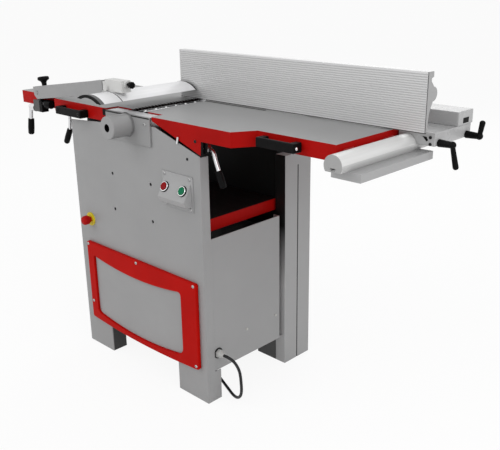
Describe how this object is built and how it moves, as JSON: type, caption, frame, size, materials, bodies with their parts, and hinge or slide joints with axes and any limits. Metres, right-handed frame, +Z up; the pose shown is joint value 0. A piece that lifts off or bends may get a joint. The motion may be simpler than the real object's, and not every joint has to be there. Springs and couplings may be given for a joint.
{
  "type": "combination planer thicknesser",
  "caption": "Floor-standing combination planer thicknesser: sheet cabinet, hinged red-edged tables over a cutter block, rising bed, grooved tilting fence and arched bridge guard.",
  "frame": {"origin": "on the floor, under the cutter block's axis and midway between the cabinet's front and back panels", "axes": "+X along the tables to the infeed end, +Y to the back, +Z up"},
  "size_m": [1.53, 0.61, 1.002],
  "materials": {
    "grey_paint": "satin powder coat",
    "black_paint": "satin black paint",
    "red_casting": "red paint on the edges, ground and polished top",
    "red_plastic": "gloss",
    "aluminium": "satin anodised",
    "bright_steel": "ground",
    "screw_steel": "zinc plated",
    "motor_casing": "dark grey paint",
    "black_rubber": "matt",
    "black_plastic": "fine grain",
    "white_plastic": "fine grain",
    "yellow_plastic": "gloss",
    "red_button": "gloss",
    "green_button": "gloss"
  },
  "bodies": {
    "cabinet": {"front_panel": "grey_paint", "rear_panel": "grey_paint", "right_end_panel": "grey_paint", "left_end_panel": "grey_paint", "rear_columns": "grey_paint", "base_plate": "grey_paint", "throat_cheeks": "black_paint", "bearing_blocks": "aluminium", "cutter_bearings": "bright_steel", "bearing_cover": "grey_paint", "chuck_guard": "grey_paint", "motor_door": "grey_paint", "door_frame": "red_plastic", "switch_box": "grey_paint", "estop_plate": "yellow_plastic", "cable_gland": "white_plastic", "panel_screws": "screw_steel", "motor": "motor_casing", "drive_belt": "black_rubber", "hinge_brackets": "black_paint", "hinge_pins": "bright_steel", "column_guide": "black_paint", "power_cord": "black_rubber", "cord_coil": "black_rubber", "cord_tie": "black_plastic", "power_plug": "black_plastic"},
    "cutter": {"cutter_block": "bright_steel", "cutter_knives": "bright_steel", "cutter_pulley": "bright_steel"},
    "motor_rotor": {"motor_pulley": "bright_steel"},
    "infeed_roller": {"infeed_roller": "bright_steel"},
    "outfeed_roller": {"outfeed_roller": "bright_steel"},
    "bed": {"thicknessing_bed": "red_casting", "bed_column": "bright_steel"},
    "lead_screw": {"lead_screw": "bright_steel"},
    "handwheel": {"handwheel": "black_plastic"},
    "right_table": {"right_table": "red_casting", "right_table_handle": "black_plastic", "fence_rail": "aluminium", "rail_tray": "grey_paint"},
    "right_lock_lever": {"right_lock_lever": "bright_steel"},
    "left_table": {"left_table": "red_casting", "left_table_handle": "black_plastic", "guard_mount": "black_paint"},
    "left_lock_lever": {"left_lock_lever": "bright_steel"},
    "mount_clamp_lever": {"mount_clamp_lever": "bright_steel"},
    "guard_arm": {"guard_arm": "grey_paint", "guard_clamp": "white_plastic"},
    "height_knob": {"height_knob": "black_plastic"},
    "clamp_knob": {"clamp_knob": "black_plastic"},
    "guard": {"guard_profile": "aluminium", "guard_caps": "black_plastic"},
    "fence_carriage": {"fence_carriage": "grey_paint", "fence_support": "grey_paint"},
    "fence": {"fence": "aluminium"},
    "inner_clamp_lever": {"inner_clamp_lever": "black_plastic"},
    "outer_clamp_lever": {"outer_clamp_lever": "black_plastic"},
    "start_button": {"start_button": "green_button"},
    "stop_button": {"stop_button": "red_button"},
    "estop_button": {"estop_button": "red_button"}
  },
  "joints": [
    {"name": "right_table_tilt", "type": "hinge", "parent": "cabinet", "child": "right_table", "pos_m": [0.21, 0.172, 0.846], "axis": [-1, 0, 0], "range_deg": [0, 88]},
    {"name": "left_table_tilt", "type": "hinge", "parent": "cabinet", "child": "left_table", "pos_m": [-0.21, 0.172, 0.846], "axis": [-1, 0, 0], "range_deg": [0, 88]},
    {"name": "fence_slide", "type": "slide", "parent": "right_table", "child": "fence_carriage", "axis": [0, 1, 0], "range_m": [-0.18, 0.05]},
    {"name": "fence_tilt", "type": "hinge", "parent": "fence_carriage", "child": "fence", "pos_m": [0.4, 0.079, 0.872], "axis": [-1, 0, 0], "range_deg": [0, 45]},
    {"name": "inner_clamp_turn", "type": "hinge", "parent": "fence_carriage", "child": "inner_clamp_lever", "pos_m": [0.8285, 0.104, 0.824], "axis": [1, 0, 0], "range_deg": [-90, 90]},
    {"name": "outer_clamp_turn", "type": "hinge", "parent": "fence_carriage", "child": "outer_clamp_lever", "pos_m": [0.8285, 0.24, 0.824], "axis": [1, 0, 0], "range_deg": [-90, 90]},
    {"name": "right_lock_turn", "type": "hinge", "parent": "right_table", "child": "right_lock_lever", "pos_m": [0.295, -0.1895, 0.78], "axis": [0, -1, 0], "range_deg": [0, 45]},
    {"name": "left_lock_turn", "type": "hinge", "parent": "left_table", "child": "left_lock_lever", "pos_m": [-0.378, -0.1895, 0.822], "axis": [0, 1, 0], "range_deg": [0, 30]},
    {"name": "mount_clamp_turn", "type": "hinge", "parent": "left_table", "child": "mount_clamp_lever", "pos_m": [-0.572, -0.22, 0.802], "axis": [-1, 0, 0], "range_deg": [0, 60]},
    {"name": "guard_arm_tilt", "type": "hinge", "parent": "left_table", "child": "guard_arm", "pos_m": [-0.5, -0.22, 0.858], "axis": [0, -1, 0], "range_deg": [-2.5, 5]},
    {"name": "height_knob_spin", "type": "hinge", "parent": "guard_arm", "child": "height_knob", "pos_m": [-0.46534, -0.22, 0.86287], "axis": [-0.1392, 0, 0.9903], "continuous": true},
    {"name": "clamp_knob_spin", "type": "hinge", "parent": "guard_arm", "child": "clamp_knob", "pos_m": [-0.0085, -0.2165, 0.9278], "axis": [1, 0, 0], "continuous": true},
    {"name": "guard_slide", "type": "slide", "parent": "guard_arm", "child": "guard", "axis": [0, 1, 0], "range_m": [-0.18, 0.05]},
    {"name": "cutter_spin", "type": "hinge", "parent": "cabinet", "child": "cutter", "pos_m": [0, 0, 0.815], "axis": [0, 1, 0], "continuous": true},
    {"name": "motor_spin", "type": "hinge", "parent": "cabinet", "child": "motor_rotor", "pos_m": [-0.2025, 0.15, 0.282], "axis": [0, 1, 0], "continuous": true},
    {"name": "infeed_roller_spin", "type": "hinge", "parent": "cabinet", "child": "infeed_roller", "pos_m": [0.07, 0, 0.8], "axis": [0, 1, 0], "continuous": true},
    {"name": "outfeed_roller_spin", "type": "hinge", "parent": "cabinet", "child": "outfeed_roller", "pos_m": [-0.07, 0, 0.8], "axis": [0, 1, 0], "continuous": true},
    {"name": "bed_lift", "type": "slide", "parent": "cabinet", "child": "bed", "axis": [0, 0, 1], "range_m": [-0.014, 0.2]},
    {"name": "handwheel_spin", "type": "hinge", "parent": "cabinet", "child": "handwheel", "pos_m": [-0.3, -0.0325, 0.152], "axis": [1, 0, 0], "continuous": true},
    {"name": "lead_screw_spin", "type": "hinge", "parent": "cabinet", "child": "lead_screw", "pos_m": [0, -0.0325, 0.2], "axis": [0, 0, 1], "continuous": true},
    {"name": "start_press", "type": "slide", "parent": "cabinet", "child": "start_button", "axis": [0, 0.8815, -0.4722], "range_m": [0, 0.003], "stiffness_N_per_m": 400},
    {"name": "stop_press", "type": "slide", "parent": "cabinet", "child": "stop_button", "axis": [0, 0.8815, -0.4722], "range_m": [0, 0.003], "stiffness_N_per_m": 400},
    {"name": "estop_press", "type": "slide", "parent": "cabinet", "child": "estop_button", "axis": [0, 1, 0], "range_m": [0, 0.004], "stiffness_N_per_m": 800}
  ],
  "couplings": [
    {"joint": "left_table_tilt", "follows": "right_table_tilt", "ratio": 1},
    {"joint": "guard_slide", "follows": "fence_slide", "ratio": 1},
    {"joint": "motor_spin", "follows": "cutter_spin", "ratio": 0.7174},
    {"joint": "outfeed_roller_spin", "follows": "infeed_roller_spin", "ratio": 1},
    {"joint": "lead_screw_spin", "follows": "handwheel_spin", "ratio": -1}
  ]
}
